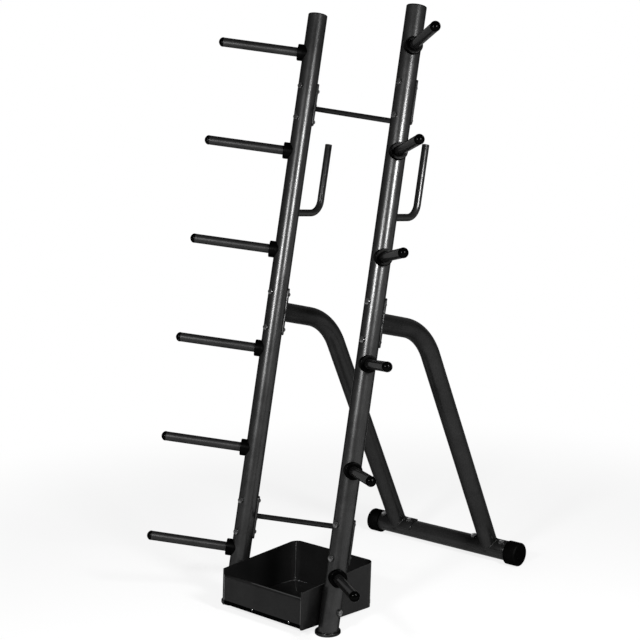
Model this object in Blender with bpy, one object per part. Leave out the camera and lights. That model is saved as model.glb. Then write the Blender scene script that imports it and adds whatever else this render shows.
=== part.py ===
"""Weight plate tree: two leaning tube uprights with angled pegs, two bent rear legs on a base tube, and a tray."""

import math

import bmesh
import bpy
from mathutils import Matrix, Vector

# Every length is in metres. X runs across the tree, Y from front to rear, Z up.
FIT_GAP = 0.0003
MERGE_DISTANCE = 0.00001
SHARP_ANGLE = math.radians(40)

# Upright tubes, which end a little above the highest peg.
TUBE_RADIUS = 0.030
TUBE_WALL = 0.002
UPRIGHT_SPACING = 0.385
UPRIGHT_END = 0.1204
LEAN = math.radians(13.5)
TUBE_SIDES = 28
BORE_SIDES = 20

# Pegs. The first height and the pitch run up the leaning tube from the floor, and lengths run
# out from the tube's surface.
PEG_RADIUS = 0.0143
PEG_WALL = 0.002
PEG_COUNT = 6
PEG_FIRST = 0.1636
PEG_PITCH = 0.309
PEG_SPREAD = math.radians(39.4)
PEG_LENGTH = 0.264
PEG_SIDES = 14
PEG_BORE_SIDES = 12

# End caps and bumper collars of the pegs.
PEG_CAP_LENGTH = 0.0150
PEG_CAP_LIP = 0.0007
PEG_CAP_RIM = 0.003
PEG_CAP_SPIGOT = 0.016
PEG_CAP_STEPS = 3
COLLAR_WALL = 0.0114
COLLAR_LENGTH = 0.0165
COLLAR_SIDES = 14
EDGE_ROUND = 0.0020

# Bar hooks behind the uprights, each a little above the fourth peg.
HOOK_RADIUS = 0.010
HOOK_RISE = 0.1304
HOOK_ARM = 0.232
HOOK_REACH = 0.135
HOOK_BEND = 0.047
HOOK_SIDES = 12
HOOK_BEND_STEPS = 5

# Saddle plates that hug a tube.
SADDLE_THICKNESS = 0.005
SADDLE_HALF_ANGLE = math.radians(66)
FOOT_SADDLE_HALF_ANGLE = math.radians(57)
SADDLE_STEPS = 8
CROSS_SADDLE_LENGTH = 0.131
LEG_SADDLE_LENGTH = 0.146

# Cross rods. Their plates sit above the fifth and the first peg, and each rod tilts a little:
# its ends have their own heights above the middle of the plates.
CROSS_RADIUS = 0.008
CROSS_SIDES = 12
UPPER_CROSS_RISE = 0.1534
UPPER_CROSS_LEFT = -0.009
UPPER_CROSS_RIGHT = -0.061
LOWER_CROSS_RISE = 0.1008
LOWER_CROSS_LEFT = 0.003
LOWER_CROSS_RIGHT = 0.038

# Rear legs, each one bent tube that starts above the third peg, and the base tube under them.
LEG_RISE = 0.1224
LEG_CORNER = 0.2507
LEG_SLOPE = math.radians(25.3)
LEG_BEND = 0.190
LEG_SIDES = 20
LEG_BORE_SIDES = 16
LEG_BEND_STEPS = 5
BASE_CAP_WALL = 0.009
BASE_CAP_LENGTH = 0.045
BASE_CAP_END = 0.005
BASE_CAP_ROUND = 0.006
BASE_CAP_STEPS = 2
BASE_CAP_CLEARANCE = 0.0008

# Floor feet and top plugs of the uprights.
FOOT_FLANGE = 0.0075
FOOT_HEIGHT = 0.0095
FOOT_SOLE = 0.0035
FOOT_ROUND = 0.003
PLUG_RIM = 0.0025
PLUG_DOME = 0.0025
PLUG_STEPS = 2
PLUG_SPIGOT = 0.018

# Bolts: hexagon head, plain shank and nut. The margins run from a plate's end to its bolt.
BOLT_RADIUS = 0.005
BOLT_SIDES = 6
BOLT_ACROSS_FLATS = 0.017
BOLT_HEAD = 0.0064
BOLT_NUT = 0.008
BOLT_TIP = 0.003
CROSS_BOLT_MARGIN = 0.017
LEG_BOLT_MARGIN = 0.0177
TRAY_BOLT_HEIGHT = 0.065

# Tray of folded sheet. Its rear edge rests just above the floor, so it tips back a little.
TRAY_SHEET = 0.002
TRAY_DEPTH = 0.323
TRAY_FRONT_Y = -0.0778
TRAY_FRONT_Z = 0.0223
TRAY_REAR_Z = 0.0005
TRAY_FRONT_WALL = 0.110
TRAY_REAR_WALL = 0.139
TRAY_CORNER = 0.026
TRAY_CORNER_STEPS = 5
TRAY_FLOOR = 0.008
TRAY_FLANGE = 0.007
TRAY_PANEL_TOP = 0.090
TRAY_PANEL_SETBACK = 0.0015
TRAY_LIP = 0.012
TRAY_SKIRT_SETBACK = 0.008
OVERCUT = 0.010

# Sizes that follow from those above. Heights run up the leaning tube, and reaches run out from
# an axis.
PEG_HEIGHTS = [PEG_FIRST + index * PEG_PITCH for index in range(PEG_COUNT)]
LOWER_CROSS_HEIGHT = PEG_HEIGHTS[0] + LOWER_CROSS_RISE
LEG_HEIGHT = PEG_HEIGHTS[2] + LEG_RISE
HOOK_HEIGHT = PEG_HEIGHTS[3] + HOOK_RISE
UPPER_CROSS_HEIGHT = PEG_HEIGHTS[4] + UPPER_CROSS_RISE
UPRIGHT_LENGTH = PEG_HEIGHTS[-1] + UPRIGHT_END
PEG_REACH = TUBE_RADIUS + PEG_LENGTH
PEG_CAP_RADIUS = PEG_RADIUS + PEG_CAP_LIP
COLLAR_RADIUS = PEG_RADIUS + COLLAR_WALL
COLLAR_REACH = TUBE_RADIUS + COLLAR_LENGTH
CROSS_OFFSET = TUBE_RADIUS - CROSS_RADIUS
CROSS_BOLT_SPACING = CROSS_SADDLE_LENGTH - 2 * CROSS_BOLT_MARGIN
LEG_BOLT_SPACING = LEG_SADDLE_LENGTH - 2 * LEG_BOLT_MARGIN
FOOT_RADIUS = TUBE_RADIUS + FOOT_FLANGE
BASE_CAP_RADIUS = TUBE_RADIUS + BASE_CAP_WALL
BASE_CAP_COVER = BASE_CAP_LENGTH - BASE_CAP_END - FIT_GAP
BASE_OVERHANG = LEG_SADDLE_LENGTH / 2 + BASE_CAP_CLEARANCE + BASE_CAP_COVER
BASE_LENGTH = UPRIGHT_SPACING + 2 * BASE_OVERHANG

SIDES = {"left": -1, "right": 1}
COATED_STEEL = ("coated_steel", (0.045, 0.046, 0.048), 0.32, 0.55)
BLACK_RUBBER = ("black_rubber", (0.012, 0.012, 0.013), 0.62, 0.0)
BLACK_PLASTIC = ("black_plastic", (0.016, 0.016, 0.017), 0.38, 0.0)
PLATED_STEEL = ("plated_steel", (0.32, 0.32, 0.33), 0.35, 0.9)


def clear_start_scene():
    for obj in list(bpy.data.objects):
        bpy.data.objects.remove(obj)


def make_collection(name):
    collection = bpy.data.collections.new(name)
    bpy.context.scene.collection.children.link(collection)
    return collection


def material(spec):
    name, colour, roughness, metallic = spec
    if name not in bpy.data.materials:
        made = bpy.data.materials.new(name)
        made.use_nodes = True
        shader = made.node_tree.nodes["Principled BSDF"]
        shader.inputs["Base Color"].default_value = (*colour, 1.0)
        shader.inputs["Roughness"].default_value = roughness
        shader.inputs["Metallic"].default_value = metallic
    return bpy.data.materials[name]


def clear_radius(radius, sides):
    """Corner radius of a round hole whose flats keep the fit gap from a shaft."""
    return (radius + FIT_GAP) / math.cos(math.pi / sides)


def heading_matrix(point, heading):
    turn = Vector(heading).to_track_quat("Z", "Y").to_matrix().to_4x4()
    return Matrix.Translation(point) @ turn


def add_cylinder(bm, radius, start, end, sides):
    """A round bar, turned so that facets and not edges face the bolts and pegs that meet it."""
    start = Vector(start)
    end = Vector(end)
    half_facet = Matrix.Rotation(math.pi / sides, 4, "Z")
    bmesh.ops.create_cone(
        bm,
        cap_ends=True,
        segments=sides,
        radius1=radius,
        radius2=radius,
        depth=(end - start).length,
        matrix=heading_matrix((start + end) / 2, end - start) @ half_facet,
    )


def add_box(bm, low, high, round_rear=0.0):
    low = Vector(low)
    high = Vector(high)
    size = Matrix.Diagonal((*(high - low), 1.0))
    made = bmesh.ops.create_cube(bm, size=1.0, matrix=Matrix.Translation((low + high) / 2) @ size)
    if round_rear:
        upright = [
            edge
            for edge in {edge for vert in made["verts"] for edge in vert.link_edges}
            if all(abs(vert.co.y - high.y) < MERGE_DISTANCE for vert in edge.verts)
            and abs(edge.verts[0].co.x - edge.verts[1].co.x) < MERGE_DISTANCE
        ]
        bmesh.ops.bevel(
            bm,
            geom=upright,
            affect="EDGES",
            offset=round_rear,
            segments=TRAY_CORNER_STEPS,
            profile=0.5,
            material=-1,
        )


def add_lathe(bm, profile, sides):
    """Turns a list of (radius, height) points about Z."""
    verts = [bm.verts.new((radius, 0.0, height)) for radius, height in profile]
    edges = [bm.edges.new(pair) for pair in zip(verts, verts[1:])]
    bmesh.ops.spin(
        bm,
        geom=verts + edges,
        cent=(0.0, 0.0, 0.0),
        axis=(0.0, 0.0, 1.0),
        angle=2 * math.pi,
        steps=sides,
        use_merge=True,
        use_duplicate=False,
    )
    bmesh.ops.remove_doubles(bm, verts=bm.verts, dist=MERGE_DISTANCE)
    bmesh.ops.recalc_face_normals(bm, faces=bm.faces)


def rounded_edge(radius, height, size, steps=1):
    """Lathe points round an outer edge, from the side up to the end face."""
    angles = [step * math.pi / 2 / steps for step in range(steps + 1)]
    return [(radius - size * (1 - math.cos(a)), height - size * (1 - math.sin(a))) for a in angles]


def dome(radius, base, rise, steps):
    """Lathe points of a crown, from its rim at the base height to its tip on the axis."""
    angles = [step * math.pi / 2 / steps for step in range(steps)]
    points = [(radius * math.cos(a), base + rise * math.sin(a)) for a in angles]
    return [*points, (0.0, base + rise)]


def add_bent_bar(bm, radius, sides, start, heading, path):
    """A round bar in a plane across X, made of ("straight", length) and ("bend", radius, angle, steps) runs."""
    position = Vector(start)
    heading = Vector(heading)
    ring = bmesh.ops.create_circle(
        bm, cap_ends=True, radius=radius, segments=sides, matrix=heading_matrix(position, heading)
    )
    face = ring["verts"][0].link_faces[0]
    for run in path:
        if run[0] == "straight":
            made = bmesh.ops.extrude_face_region(bm, geom=[face, *face.edges, *face.verts])["geom"]
            step = heading * run[1]
            bmesh.ops.translate(bm, vec=step, verts=[g for g in made if isinstance(g, bmesh.types.BMVert)])
            position = position + step
        else:
            _, bend, angle, steps = run
            inward = Vector((0.0, -heading.z, heading.y)) * math.copysign(1.0, angle)
            centre = position + inward * bend
            made = bmesh.ops.spin(
                bm,
                geom=[face, *face.edges, *face.verts],
                cent=centre,
                axis=(1.0, 0.0, 0.0),
                angle=angle,
                steps=steps,
                use_duplicate=False,
            )["geom_last"]
            turn = Matrix.Rotation(angle, 3, "X")
            position = centre + turn @ (position - centre)
            heading = turn @ heading
        face = next(g for g in made if isinstance(g, bmesh.types.BMFace))
    bmesh.ops.recalc_face_normals(bm, faces=bm.faces)


def add_saddle(bm, middle, along, outward, length, half_angle):
    """A plate curved round a tube: middle lies on the tube's axis, outward points at the plate's crown."""
    along = Vector(along)
    outward = Vector(outward)
    across = outward.cross(along)
    turn = Matrix((across, outward, along)).transposed().to_4x4()
    place = Matrix.Translation(middle) @ turn @ Matrix.Rotation(-half_angle, 4, "Z")
    inner = TUBE_RADIUS - TUBE_WALL
    outer = TUBE_RADIUS + FIT_GAP + SADDLE_THICKNESS
    section = Matrix.Translation((0.0, (inner + outer) / 2, 0.0)) @ Matrix.Rotation(math.pi / 2, 4, "Y")
    scale = Matrix.Diagonal((length, outer - inner, 1.0, 1.0))
    ring = bmesh.ops.create_grid(bm, x_segments=1, y_segments=1, size=0.5, matrix=place @ section @ scale)
    face = ring["verts"][0].link_faces[0]
    bmesh.ops.spin(
        bm,
        geom=[face, *face.edges, *face.verts],
        cent=middle,
        axis=along,
        angle=2 * half_angle,
        steps=SADDLE_STEPS,
        use_duplicate=False,
    )
    bmesh.ops.recalc_face_normals(bm, faces=bm.faces)


def slice_off(bm, point, normal):
    """Cuts away what lies on the far side of a plane and closes the cut."""
    geom = bm.verts[:] + bm.edges[:] + bm.faces[:]
    cut = bmesh.ops.bisect_plane(bm, geom=geom, plane_co=point, plane_no=normal, clear_outer=True)
    edges = [g for g in cut["geom_cut"] if isinstance(g, bmesh.types.BMEdge)]
    bmesh.ops.contextual_create(bm, geom=edges)
    bmesh.ops.recalc_face_normals(bm, faces=bm.faces)


def to_mesh(bm, name):
    mesh = bpy.data.meshes.new(name)
    bm.to_mesh(mesh)
    bm.free()
    return mesh


def place(name, mesh, spec, parent, matrix=None):
    """Puts one finished piece in the tree's collection."""
    obj = bpy.data.objects.new(name, mesh)
    parts.objects.link(obj)
    obj.parent = parent
    obj.matrix_local = matrix or Matrix.Identity(4)
    if not mesh.materials:
        mesh.materials.append(material(spec))
    mesh.shade_smooth()
    mesh.set_sharp_from_angle(angle=SHARP_ANGLE)
    return obj


def helper(name, bm, parent, matrix=None):
    """A shape that only adds to or cuts other pieces."""
    obj = bpy.data.objects.new(name, to_mesh(bm, name))
    helpers.objects.link(obj)
    obj.parent = parent
    obj.matrix_local = matrix or Matrix.Identity(4)
    obj.hide_render = True
    obj.display_type = "WIRE"
    return obj


def boolean(obj, other, operation):
    modifier = obj.modifiers.new(operation.title() + " " + other.name, "BOOLEAN")
    modifier.operation = operation
    modifier.object = other


def frame_empty(name, parent, location=(0.0, 0.0, 0.0), tilt=0.0):
    empty = bpy.data.objects.new(name, None)
    parts.objects.link(empty)
    empty.parent = parent
    empty.location = location
    empty.rotation_euler = (tilt, 0.0, 0.0)
    return empty


def peg_matrix(side, index):
    """Frame of one peg on its upright: Z out along the peg, X down the tube."""
    spread = math.atan2(-math.sin(PEG_SPREAD), side * math.cos(PEG_SPREAD))
    turn = Matrix.Rotation(spread, 4, "Z") @ Matrix.Rotation(math.pi / 2, 4, "Y")
    return Matrix.Translation((0.0, 0.0, PEG_HEIGHTS[index])) @ turn


def bolt_mesh(name, grip):
    """A bolt along +Z: the head's underside at 0, and the nut beyond the length that it grips."""
    corner = BOLT_ACROSS_FLATS / math.sqrt(3)
    bm = bmesh.new()
    add_cylinder(bm, corner, (0, 0, -BOLT_HEAD), (0, 0, 0), 6)
    shank = bmesh.new()
    tip = grip + BOLT_NUT + BOLT_TIP
    add_cylinder(shank, BOLT_RADIUS, (0, 0, -BOLT_HEAD / 2), (0, 0, tip), BOLT_SIDES)
    nut = bmesh.new()
    add_cylinder(nut, corner, (0, 0, grip), (0, 0, grip + BOLT_NUT), 6)
    pattern = helper(name + "_pattern", bm, None)
    boolean(pattern, helper(name + "_shank", shank, None), "UNION")
    boolean(pattern, helper(name + "_nut", nut, None), "UNION")
    bpy.context.view_layer.update()
    evaluated = pattern.evaluated_get(bpy.context.evaluated_depsgraph_get())
    mesh = bpy.data.meshes.new_from_object(evaluated)
    mesh.name = name
    return mesh


def bolt_hole(bm, start, end):
    add_cylinder(bm, clear_radius(BOLT_RADIUS, BOLT_SIDES), start, end, BOLT_SIDES)


def collar_mesh():
    bore = clear_radius(PEG_RADIUS, PEG_SIDES)
    edge = rounded_edge(COLLAR_RADIUS, COLLAR_REACH, EDGE_ROUND)
    profile = [(bore, 0.0), (COLLAR_RADIUS, 0.0), *edge, (bore, COLLAR_REACH), (bore, 0.0)]
    bm = bmesh.new()
    add_lathe(bm, profile, COLLAR_SIDES)
    return to_mesh(bm, "peg_collar")


def peg_cap_mesh():
    """A domed plug: the spigot fills the peg's bore and the rim covers its end."""
    start = PEG_REACH - PEG_CAP_LENGTH
    spigot = (PEG_RADIUS - PEG_WALL) * math.cos(math.pi / PEG_BORE_SIDES) - FIT_GAP
    profile = [
        (0.0, start - PEG_CAP_SPIGOT),
        (spigot, start - PEG_CAP_SPIGOT),
        (spigot, start),
        (PEG_CAP_RADIUS, start),
        *dome(PEG_CAP_RADIUS, start + PEG_CAP_RIM, PEG_CAP_LENGTH - PEG_CAP_RIM, PEG_CAP_STEPS),
    ]
    bm = bmesh.new()
    add_lathe(bm, profile, PEG_SIDES)
    return to_mesh(bm, "peg_cap")


def top_plug_mesh():
    spigot = (TUBE_RADIUS - TUBE_WALL) * math.cos(math.pi / BORE_SIDES) - FIT_GAP
    seat = UPRIGHT_LENGTH + FIT_GAP
    profile = [
        (0.0, seat - PLUG_SPIGOT),
        (spigot, seat - PLUG_SPIGOT),
        (spigot, seat),
        (TUBE_RADIUS, seat),
        *dome(TUBE_RADIUS, seat + PLUG_RIM, PLUG_DOME, PLUG_STEPS),
    ]
    bm = bmesh.new()
    add_lathe(bm, profile, TUBE_SIDES)
    return to_mesh(bm, "top_plug")


def foot_mesh():
    profile = [
        (0.0, 0.0),
        (FOOT_RADIUS - FOOT_ROUND / 2, 0.0),
        (FOOT_RADIUS, FOOT_ROUND / 2),
        *rounded_edge(FOOT_RADIUS, FOOT_HEIGHT, FOOT_ROUND),
        (0.0, FOOT_HEIGHT),
    ]
    bm = bmesh.new()
    add_lathe(bm, profile, TUBE_SIDES)
    return to_mesh(bm, "upright_foot")


def base_cap_mesh():
    """A cup for the base tube's end: Z runs outward, with 0 at the cap's closed end."""
    bore = clear_radius(TUBE_RADIUS, TUBE_SIDES)
    profile = [
        (0.0, 0.0),
        *reversed(rounded_edge(BASE_CAP_RADIUS, 0.0, BASE_CAP_ROUND, BASE_CAP_STEPS)),
        (BASE_CAP_RADIUS, EDGE_ROUND - BASE_CAP_LENGTH),
        (BASE_CAP_RADIUS - EDGE_ROUND, -BASE_CAP_LENGTH),
        (bore, -BASE_CAP_LENGTH),
        (bore, -BASE_CAP_END),
        (0.0, -BASE_CAP_END),
    ]
    bm = bmesh.new()
    add_lathe(bm, profile, TUBE_SIDES)
    return to_mesh(bm, "base_cap")


def floor_cut(bm, height):
    """Trims a leaning shape, drawn in its upright's frame, level with the floor."""
    level = Vector((0.0, -math.sin(LEAN), math.cos(LEAN)))
    slice_off(bm, level * height, -level)


def bolt_heights():
    """Heights of the front-to-rear bolts up each leaning tube."""
    pairs = (
        (UPPER_CROSS_HEIGHT, CROSS_BOLT_SPACING),
        (LOWER_CROSS_HEIGHT, CROSS_BOLT_SPACING),
        (LEG_HEIGHT, LEG_BOLT_SPACING),
    )
    return [middle + end * spacing / 2 for middle, spacing in pairs for end in (-1, 1)]


def build_upright(label, side, frame):
    far = TUBE_RADIUS + SADDLE_THICKNESS + OVERCUT
    bm = bmesh.new()
    add_cylinder(bm, TUBE_RADIUS, (0, 0, -2 * OVERCUT), (0, 0, UPRIGHT_LENGTH), TUBE_SIDES)
    floor_cut(bm, FOOT_SOLE + FIT_GAP)
    upright = place("upright_" + label, to_mesh(bm, "upright_" + label), COATED_STEEL, frame)

    arms = bmesh.new()
    peg_end = PEG_REACH - PEG_CAP_LENGTH - FIT_GAP
    for index in range(PEG_COUNT):
        peg = peg_matrix(side, index)
        add_cylinder(arms, PEG_RADIUS, peg.translation, peg @ Vector((0, 0, peg_end)), PEG_SIDES)
    path = [
        ("straight", HOOK_REACH - HOOK_BEND),
        ("bend", HOOK_BEND, math.pi / 2, HOOK_BEND_STEPS),
        ("straight", HOOK_ARM - HOOK_BEND),
    ]
    add_bent_bar(arms, HOOK_RADIUS, HOOK_SIDES, (0, 0, HOOK_HEIGHT), (0, 1, 0), path)
    boolean(upright, helper("arms_" + label, arms, frame), "UNION")

    bore = bmesh.new()
    bore_radius = TUBE_RADIUS - TUBE_WALL
    add_cylinder(bore, bore_radius, (0, 0, -3 * OVERCUT), (0, 0, UPRIGHT_LENGTH + OVERCUT), BORE_SIDES)
    boolean(upright, helper("bore_" + label, bore, frame), "DIFFERENCE")

    hollows = bmesh.new()
    for index in range(PEG_COUNT):
        peg = peg_matrix(side, index)
        inner = peg @ Vector((0, 0, TUBE_RADIUS + TUBE_WALL / 2))
        outer = peg @ Vector((0, 0, peg_end + OVERCUT))
        add_cylinder(hollows, PEG_RADIUS - PEG_WALL, inner, outer, PEG_BORE_SIDES)
    boolean(upright, helper("peg_bores_" + label, hollows, frame), "DIFFERENCE")

    holes = bmesh.new()
    for height in bolt_heights():
        bolt_hole(holes, (0, -far, height), (0, far, height))
    bolt_hole(holes, (-far, 0, TRAY_BOLT_HEIGHT), (far, 0, TRAY_BOLT_HEIGHT))
    boolean(upright, helper("bolt_holes_" + label, holes, frame), "DIFFERENCE")


def build_upright_trim(label, side, frame, stand, shared):
    room = bmesh.new()
    room_radius = clear_radius(TUBE_RADIUS, TUBE_SIDES)
    add_cylinder(room, room_radius, (0, 0, -2 * OVERCUT), (0, 0, UPRIGHT_LENGTH), TUBE_SIDES)
    floor_cut(room, FOOT_SOLE)
    tube_room = helper("tube_room_" + label, room, frame)

    for index in range(PEG_COUNT):
        peg = peg_matrix(side, index)
        number = str(index + 1)
        collar = place("collar_" + label + "_" + number, shared["collar"], BLACK_RUBBER, frame, peg)
        boolean(collar, tube_room, "DIFFERENCE")
        place("peg_cap_" + label + "_" + number, shared["peg_cap"], BLACK_PLASTIC, frame, peg)

    place("top_plug_" + label, shared["top_plug"], BLACK_PLASTIC, frame)
    foot = place("foot_" + label, shared["foot"], BLACK_RUBBER, stand)
    boolean(foot, tube_room, "DIFFERENCE")
    return tube_room


def build_cross_rod(name, height, left_rise, right_rise, frames, tube_rooms):
    """One rod between two saddle plates, drawn in the left upright's frame."""
    saddles = bmesh.new()
    holes = bmesh.new()
    for offset in (0.0, UPRIGHT_SPACING):
        middle = (offset, 0.0, height)
        add_saddle(saddles, middle, (0, 0, 1), (0, 1, 0), CROSS_SADDLE_LENGTH, SADDLE_HALF_ANGLE)
        for end in (-1, 1):
            bolt_height = height + end * CROSS_BOLT_SPACING / 2
            bolt_hole(holes, (offset, 0, bolt_height), (offset, 2 * TUBE_RADIUS, bolt_height))
    rod = bmesh.new()
    start = Vector((0, CROSS_OFFSET, height + left_rise))
    end = Vector((UPRIGHT_SPACING, CROSS_OFFSET, height + right_rise))
    inset = (end - start).normalized() * TUBE_RADIUS / 2
    add_cylinder(rod, CROSS_RADIUS, start + inset, end - inset, CROSS_SIDES)

    frame = frames["left"]
    obj = place(name, to_mesh(rod, name), COATED_STEEL, frame)
    boolean(obj, helper("saddles_" + name, saddles, frame), "UNION")
    for label in SIDES:
        boolean(obj, tube_rooms[label], "DIFFERENCE")
    boolean(obj, helper("bolt_holes_" + name, holes, frame), "DIFFERENCE")


def leg_corner_point():
    """Where the leg's two straight runs would meet, in the frame of its upright's foot."""
    up = Vector((0.0, math.sin(LEAN), math.cos(LEAN)))
    back = Vector((0.0, math.cos(LEAN), -math.sin(LEAN)))
    return up * LEG_HEIGHT + back * LEG_CORNER


def base_axis_y():
    corner = leg_corner_point()
    return corner.y + (corner.z - BASE_CAP_RADIUS) * math.tan(LEG_SLOPE)


def build_leg(label, stand, tube_room, base_room):
    """One bent leg with a saddle plate at each end, drawn in the frame of its upright's foot."""
    up = Vector((0.0, math.sin(LEAN), math.cos(LEAN)))
    back = Vector((0.0, math.cos(LEAN), -math.sin(LEAN)))
    down = Vector((0.0, math.sin(LEG_SLOPE), -math.cos(LEG_SLOPE)))
    along = Vector((1.0, 0.0, 0.0))
    top = up * LEG_HEIGHT
    base = Vector((0.0, base_axis_y(), BASE_CAP_RADIUS))
    turn = math.pi / 2 - LEG_SLOPE - LEAN
    tangent = LEG_BEND * math.tan(turn / 2)
    upper_run = LEG_CORNER - tangent
    lower_run = (base - leg_corner_point()).length - tangent
    bend = ("bend", LEG_BEND, -turn, LEG_BEND_STEPS)

    bm = bmesh.new()
    add_bent_bar(bm, TUBE_RADIUS, LEG_SIDES, top, back, [("straight", upper_run), bend, ("straight", lower_run)])
    leg = place("leg_" + label, to_mesh(bm, "leg_" + label), COATED_STEEL, stand)

    saddles = bmesh.new()
    add_saddle(saddles, top, up, back, LEG_SADDLE_LENGTH, SADDLE_HALF_ANGLE)
    add_saddle(saddles, base, along, -down, LEG_SADDLE_LENGTH, FOOT_SADDLE_HALF_ANGLE)
    boolean(leg, helper("saddles_leg_" + label, saddles, stand), "UNION")
    boolean(leg, tube_room, "DIFFERENCE")
    boolean(leg, base_room, "DIFFERENCE")

    bore = bmesh.new()
    stop = TUBE_RADIUS + 2 * SADDLE_THICKNESS
    path = [("straight", upper_run), bend, ("straight", lower_run - stop)]
    add_bent_bar(bore, TUBE_RADIUS - TUBE_WALL, LEG_BORE_SIDES, top, back, path)
    boolean(leg, helper("bore_leg_" + label, bore, stand), "DIFFERENCE")

    holes = bmesh.new()
    for end in (-1, 1):
        high = top + up * end * LEG_BOLT_SPACING / 2
        low = base + along * end * LEG_BOLT_SPACING / 2
        bolt_hole(holes, high, high + back * 2 * TUBE_RADIUS)
        bolt_hole(holes, low, low - down * 2 * TUBE_RADIUS)
    boolean(leg, helper("bolt_holes_leg_" + label, holes, stand), "DIFFERENCE")


def build_base(base_frame, shared):
    """The base tube and its end caps, drawn about the middle of the tube."""
    half = BASE_LENGTH / 2
    bm = bmesh.new()
    add_cylinder(bm, TUBE_RADIUS, (-half, 0, 0), (half, 0, 0), TUBE_SIDES)
    base = place("base_tube", to_mesh(bm, "base_tube"), COATED_STEEL, base_frame)

    bore = bmesh.new()
    reach = half + OVERCUT
    add_cylinder(bore, TUBE_RADIUS - TUBE_WALL, (-reach, 0, 0), (reach, 0, 0), BORE_SIDES)
    boolean(base, helper("bore_base", bore, base_frame), "DIFFERENCE")

    out = Vector((0.0, -math.sin(LEG_SLOPE), math.cos(LEG_SLOPE))) * 2 * TUBE_RADIUS
    holes = bmesh.new()
    for side in SIDES.values():
        for end in (-1, 1):
            middle = Vector((side * UPRIGHT_SPACING / 2 + end * LEG_BOLT_SPACING / 2, 0, 0))
            bolt_hole(holes, middle, middle + out)
    boolean(base, helper("bolt_holes_base", holes, base_frame), "DIFFERENCE")

    cap_reach = half + FIT_GAP + BASE_CAP_END
    for label, side in SIDES.items():
        turn = Matrix.Rotation(side * math.pi / 2, 4, "Y")
        matrix = Matrix.Translation((side * cap_reach, 0, 0)) @ turn
        place("base_cap_" + label, shared["base_cap"], BLACK_RUBBER, base_frame, matrix)


def build_bolts(frames, base_frame):
    """Front-to-rear bolts through the uprights, short bolts into the base tube, and the tray's bolts."""
    seat = TUBE_RADIUS + FIT_GAP
    behind_saddle = seat + SADDLE_THICKNESS + FIT_GAP
    through = bolt_mesh("through_bolt", seat + behind_saddle)
    names = ("upper_cross_low", "upper_cross_high", "lower_cross_low", "lower_cross_high", "leg_low", "leg_high")
    backward = Matrix.Rotation(-math.pi / 2, 4, "X")
    for label, frame in frames.items():
        for name, height in zip(names, bolt_heights()):
            matrix = Matrix.Translation((0, -seat, height)) @ backward
            place("bolt_" + name + "_" + label, through, PLATED_STEEL, frame, matrix)

    tray_bolt = bolt_mesh("tray_bolt", 2 * seat + TRAY_SHEET + FIT_GAP)
    for label, side in SIDES.items():
        inward = Matrix.Rotation(-side * math.pi / 2, 4, "Y")
        matrix = Matrix.Translation((side * seat, 0, TRAY_BOLT_HEIGHT)) @ inward
        place("bolt_tray_" + label, tray_bolt, PLATED_STEEL, frames[label], matrix)

    # The foot bolts screw into nuts that sit inside the base tube, under its wall.
    corner = BOLT_ACROSS_FLATS / math.sqrt(3)
    inner_flat = (TUBE_RADIUS - TUBE_WALL) * math.cos(math.pi / BORE_SIDES)
    nut_seat = math.sqrt(inner_flat**2 - corner**2) - FIT_GAP
    foot_bolt = bolt_mesh("foot_bolt", behind_saddle - nut_seat)
    turn = Matrix.Rotation(math.pi + LEG_SLOPE, 4, "X")
    for label, side in SIDES.items():
        for name, end in (("outer", side), ("inner", -side)):
            middle = side * UPRIGHT_SPACING / 2 + end * LEG_BOLT_SPACING / 2
            matrix = Matrix.Translation((middle, 0, 0)) @ turn @ Matrix.Translation((0, 0, -behind_saddle))
            place("bolt_foot_" + name + "_" + label, foot_bolt, PLATED_STEEL, base_frame, matrix)


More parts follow.
